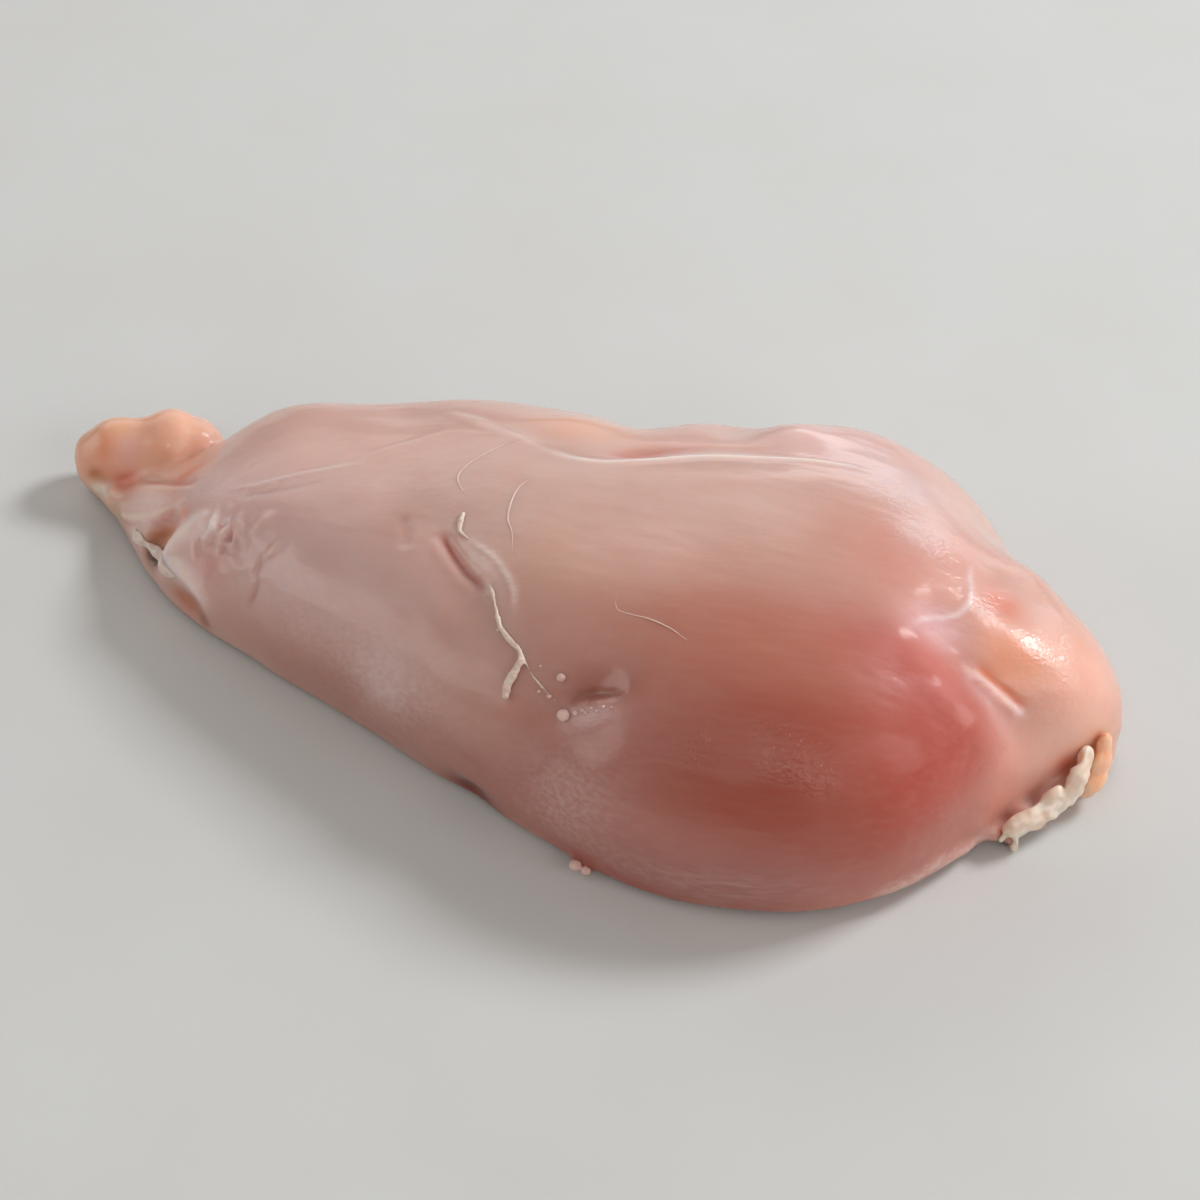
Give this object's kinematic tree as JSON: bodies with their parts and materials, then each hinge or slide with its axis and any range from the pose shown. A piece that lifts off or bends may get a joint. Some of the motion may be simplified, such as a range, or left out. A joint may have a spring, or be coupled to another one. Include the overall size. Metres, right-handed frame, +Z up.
{
  "type": "raw chicken breast",
  "caption": "Raw boneless skinless chicken breast lying on its cut side: a thick rounded shoulder end with a fold and a fat fringe, tapering to a thin lobed tail.",
  "frame": {"origin": "on the surface it lies on, below the middle of its bounding box", "axes": "+X from the thin tail to the thick shoulder end, +Y to the far side, +Z up"},
  "size_m": [0.193, 0.0965, 0.0401],
  "materials": {
    "flesh": "wet translucent raw flesh, pink with redder and paler patches",
    "fat": "moist opaque cream fat and tendon"
  },
  "bodies": {
    "root": {"chicken_breast": "flesh"}
  },
  "joints": []
}
